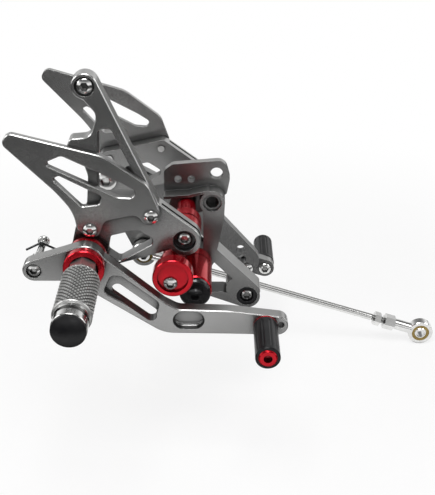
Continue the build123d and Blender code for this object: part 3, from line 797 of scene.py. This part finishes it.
@dataclass(frozen=True)
class Thread:
    """A real screw thread on a straight axis, as a closed shape."""

    # Lift from root to crest, and place along one pitch.
    TOOTH = ((0.0, 0.1), (1.0, 0.45), (1.0, 0.55), (0.0, 0.9), (0.0, 1.1))
    SPARE_TURNS = 2
    root: float
    crest: float
    pitch: float
    steps: int = 24

    def build(self, start: Vector, end: Vector) -> bmesh.types.BMesh:
        """Spins one groove along a helix and cuts both ends square.

        Args:
            start: centre of one end.
            end: centre of the other end.

        Returns:
            The thread, in place.
        """
        run = end - start
        turns = math.ceil(run.length / self.pitch) + self.SPARE_TURNS
        mesh = bmesh.new()
        points = []
        for lift, share in self.TOOTH:
            radius = self.root + lift * (self.crest - self.root)
            points.append(mesh.verts.new((radius, 0.0, (share - self.SPARE_TURNS) * self.pitch)))
        edges = [mesh.edges.new(pair) for pair in zip(points, points[1:])]
        bmesh.ops.spin(
            mesh, geom=points + edges, cent=(0, 0, 0), axis=(0, 0, 1), dvec=(0, 0, self.pitch / self.steps),
            angle=math.tau * turns, steps=self.steps * turns, use_merge=False,
        )
        bmesh.ops.remove_doubles(mesh, verts=mesh.verts, dist=WELD)
        for height, way in ((0.0, -1.0), (run.length, 1.0)):
            cut_square(mesh, Vector((0.0, 0.0, height)), Vector((0.0, 0.0, way)))
        turn = run.to_track_quat("Z", "Y").to_matrix().to_4x4()
        bmesh.ops.transform(mesh, matrix=Matrix.Translation(start) @ turn, verts=mesh.verts)
        return mesh


def cut_square(mesh: bmesh.types.BMesh, point: Vector, outward: Vector) -> None:
    """Cuts off what lies beyond a plane and closes the cut.

    Args:
        mesh: the shape.
        point: a point of the plane.
        outward: the plane's normal, on the side that goes.
    """
    everything = mesh.verts[:] + mesh.edges[:] + mesh.faces[:]
    bmesh.ops.bisect_plane(
        mesh, geom=everything, dist=NEAR_PLANE, plane_co=point, plane_no=outward, clear_outer=True,
    )
    rim = [edge for edge in mesh.edges if edge.is_boundary and all(
        abs((vert.co - point).dot(outward)) < WELD for vert in edge.verts)]
    bmesh.ops.edgenet_fill(mesh, edges=rim)


@dataclass
class ThreadedPiece:
    """A bolt or rod whose plain thread gives way to a real one."""

    node: str
    body: str
    thread: Thread
    spans: list[tuple[Vector, Vector]]
    smooth_angle: float = 32.0

    def build(self, wardrobe: Wardrobe, solid: bpy.types.Object) -> bpy.types.Object:
        """Cuts the plain ends off a copy of the solid and adds the threads.

        Args:
            wardrobe: the finishes.
            solid: the solid that the piece stands for.

        Returns:
            The threaded piece.
        """
        mesh = bmesh.new()
        mesh.from_mesh(solid.data)
        bmesh.ops.remove_doubles(mesh, verts=mesh.verts, dist=WELD)
        for start, end in self.spans:
            cut_square(mesh, start, (end - start).normalized())
        for start, end in self.spans:
            helix = self.thread.build(start, end)
            part = bpy.data.meshes.new(self.node)
            helix.to_mesh(part)
            helix.free()
            mesh.from_mesh(part)
            bpy.data.meshes.remove(part)
        piece = new_piece(f"{self.node}_threaded", mesh, self.smooth_angle)
        wardrobe.dress(piece, Slot.STAINLESS)
        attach(piece, self.body)
        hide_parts(self.node)
        return piece


@dataclass
class FrameBolts:
    """The two bolts that go into the motorcycle's frame."""

    NODES = ("strut_bolt", "bracket_bolt")
    body: str
    thread: Thread = Thread(root=3.4 * MM, crest=4.0 * MM, pitch=1.25 * MM)
    reach: float = 12.0 * MM

    def pieces(self) -> Iterable[ThreadedPiece]:
        """Works out the bolts' threads.

        Returns:
            The bolts, ready to build.
        """
        for node in self.NODES:
            low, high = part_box(node)
            axis = (low + high) / 2
            tip = Vector((axis.x, high.y, axis.z))
            start = tip - Vector((0.0, self.reach, 0.0))
            yield ThreadedPiece(node, self.body, self.thread, [(start, tip)])


@dataclass
class GearRod:
    """The rod of the gear lever, threaded at both ends."""

    NODE = "gear_rod"
    EYES = ("rear_ball", "front_ball")
    body: str
    thread: Thread = Thread(root=2.5 * MM, crest=3.0 * MM, pitch=1.0 * MM)
    thread_out: float = 26.5 * MM
    thread_in: float = 51.5 * MM

    def piece(self) -> ThreadedPiece:
        """Works out the rod's threads between the two eyes.

        Returns:
            The rod, ready to build.
        """
        eyes = [sum(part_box(node), Vector()) / 2 for node in self.EYES]
        spans = []
        for eye, other in (eyes, eyes[::-1]):
            way = (other - eye).normalized()
            spans.append((eye + way * self.thread_in, eye + way * self.thread_out))
        return ThreadedPiece(self.NODE, self.body, self.thread, spans)


@dataclass(frozen=True)
class SoftBox:
    """A square lamp that faces the object, in metres and watts."""

    name: str
    place: tuple[float, float, float]
    size: float
    power: float

    def build(self) -> None:
        """Hangs the lamp, out of the camera's sight."""
        light = bpy.data.lights.new(self.name, "AREA")
        light.size = self.size
        light.energy = self.power
        lamp = bpy.data.objects.new(self.name, light)
        lamp.location = self.place
        lamp.visible_camera = False
        lamp.rotation_mode = "QUATERNION"
        lamp.rotation_quaternion = (-Vector(self.place)).to_track_quat("-Z", "Y")
        bpy.context.scene.collection.objects.link(lamp)


@dataclass
class Studio:
    """Floor, lamps, world and camera.

    Near, far and edge are metres on the floor. Low and high are heights of a direction, from 0 at the
    horizon to 1 straight up. Dark, share, overhead and ambient are parts of full light.
    """

    WHITE = (1.0, 1.0, 1.0, 1.0)
    BLACK = (0.0, 0.0, 0.0, 1.0)
    LAMPS = (
        SoftBox("key_box", (-0.1, -0.55, 1.15), size=0.6, power=10.0),
        SoftBox("back_box", (0.1, 1.1, 1.0), size=0.7, power=0.9),
        SoftBox("left_box", (-0.9, -0.3, 0.5), size=0.4, power=2.5),
        SoftBox("right_box", (0.9, -0.2, 0.5), size=0.4, power=2.0),
        SoftBox("front_lamp", (0.08, -1.6, 0.09), size=0.15, power=0.5),
    )
    floor_height: float
    eye: Vector = Vector((0.668, -743.668, 316.746)) * MM
    look_down: float = 27.2916
    focal_pixels: float = 1003.0
    frame_height: int = 495
    sensor: float = 36.0
    floor_size: float = 8.0
    floor_dim: Colour = (0.86, 0.86, 0.86, 1.0)
    floor_white: Colour = (0.9, 0.9, 0.9, 1.0)
    floor_roughness: float = 0.9
    paper: Grain = Grain(30.0, 2.0)
    smooth_angle: float = 30.0
    shadow_share: float = 0.22
    shadow_near: float = 0.3
    shadow_far: float = 0.7
    mirror_share: float = 0.35
    pool_near: float = 0.4
    pool_far: float = 0.54
    pool_dark: float = 0.03
    band_near: float = 0.03
    band_far: float = 0.27
    band_edge: float = 0.05
    band_dark: float = 0.15
    sky_low: float = 0.1
    sky_high: float = 0.62
    sky_dark: float = 0.08
    overhead_low: float = 0.72
    overhead_high: float = 0.86
    overhead: float = 0.7
    ambient: float = 0.42

    def build(self) -> None:
        """Makes the whole studio."""
        self._floor()
        self._world()
        for lamp in self.LAMPS:
            lamp.build()
        self._camera()

    def _floor(self) -> None:
        """A white floor with the object's shadow. In mirrored rays it glows as a painted pool of light, dark
        beyond it, with a painted dim strip that stands for shade under the object.
        """
        mesh = bmesh.new()
        place = Matrix.Translation((0.0, 0.0, self.floor_height))
        bmesh.ops.create_grid(mesh, x_segments=1, y_segments=1, size=self.floor_size / 2, matrix=place)
        floor = new_piece("studio_floor", mesh, self.smooth_angle)
        shader = Shader.material("studio_white")
        paper = shader.noise(self.paper)
        camera, mirrored = shader.rays()
        flat = shader.place((1.0, 1.0, 0.0))
        reach = shader.node("ShaderNodeVectorMath", {"operation": "LENGTH"}, {0: flat}).out("Value")
        # Painted light seen only in mirrors: a glowing pool near the middle, dark beyond it.
        pool = 1.0 - reach.step(self.pool_near, self.pool_far) * (1.0 - self.pool_dark)
        # Painted shade seen only in mirrors: a dim strip just ahead of the middle, under the object.
        ahead = 0.0 - shader.node("ShaderNodeSeparateXYZ", {}, {0: flat}).out("Y")
        start = ahead.step(self.band_near - self.band_edge, self.band_near)
        shade_band = start * (1.0 - ahead.step(self.band_far - self.band_edge, self.band_far + self.band_edge))
        pool = pool * (1.0 - shade_band * (1.0 - self.band_dark))
        white = shader.mix(paper, self.floor_dim, self.floor_white)
        # Mirrored rays see the floor's colour go dark outside the painted pool.
        base = shader.mix(mirrored * (1.0 - pool), white, self.BLACK)
        shader.shine(Base_Color=base, Roughness=self.floor_roughness)
        # The painted pool glows for mirrored rays. Camera rays see plain white.
        glow = shader.node("ShaderNodeEmission", {}, {"Strength": camera + mirrored * pool})
        shadow = self.shadow_share * (1.0 - reach.step(self.shadow_near, self.shadow_far))
        share = camera * (1.0 - shadow) + mirrored * self.mirror_share
        lit = Signal(shader, shader.surface.outputs[0])
        blend = shader.node("ShaderNodeMixShader", {}, {0: share, 1: lit, 2: glow.out()})
        shader.feed(shader.tree.nodes["Material Output"].inputs["Surface"], blend.out())
        floor.data.materials.append(shader.owner)
        floor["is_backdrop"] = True

    def _world(self) -> None:
        """A white backdrop. The metal mirrors it with a dim belt and a bright top; the rest is soft light."""
        shader = Shader.world("studio_world")
        bpy.context.scene.world = shader.owner
        camera, mirrored = shader.rays()
        way = shader.node("ShaderNodeTexCoord", {}, {}).out("Generated")
        height = shader.node("ShaderNodeSeparateXYZ", {}, {0: way}).out("Z")
        sky = 1.0 - height.step(self.sky_low, self.sky_high) * (1.0 - self.sky_dark)
        sky = sky + height.step(self.overhead_low, self.overhead_high) * self.overhead
        rest = (1.0 - (camera + mirrored)) * self.ambient
        shader.shine(Color=self.WHITE, Strength=camera + mirrored * sky + rest)

    def _camera(self) -> None:
        """The camera at the photograph's angle."""
        data = bpy.data.cameras.new("camera")
        data.sensor_width = self.sensor
        data.lens = self.focal_pixels / self.frame_height * self.sensor
        camera = bpy.data.objects.new("camera", data)
        camera.location = self.eye
        camera.rotation_euler = (math.radians(90.0 - self.look_down), 0.0, 0.0)
        bpy.context.scene.collection.objects.link(camera)
        bpy.context.scene.camera = camera


def main() -> None:
    """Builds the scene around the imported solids."""
    logging.basicConfig(level=logging.INFO, format="%(name)s: %(message)s")
    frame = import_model()
    cad_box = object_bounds()
    bpy.context.scene.view_settings.view_transform = "Standard"
    wardrobe = Wardrobe(frame["record"])
    wardrobe.dress_nodes(frame["nodes"])
    for side in Side:
        peg = KnurledPeg(side).build(wardrobe, ROOT_BODY)
        LOG.info("peg %s", peg.name)
    for piece in (*FrameBolts(ROOT_BODY).pieces(), GearRod(ROD_BODY).piece()):
        threaded = piece.build(wardrobe, frame["nodes"][piece.node])
        LOG.info("thread %s", threaded.name)
    Studio(cad_box[0].z).build()


if __name__ == "__main__":
    main()
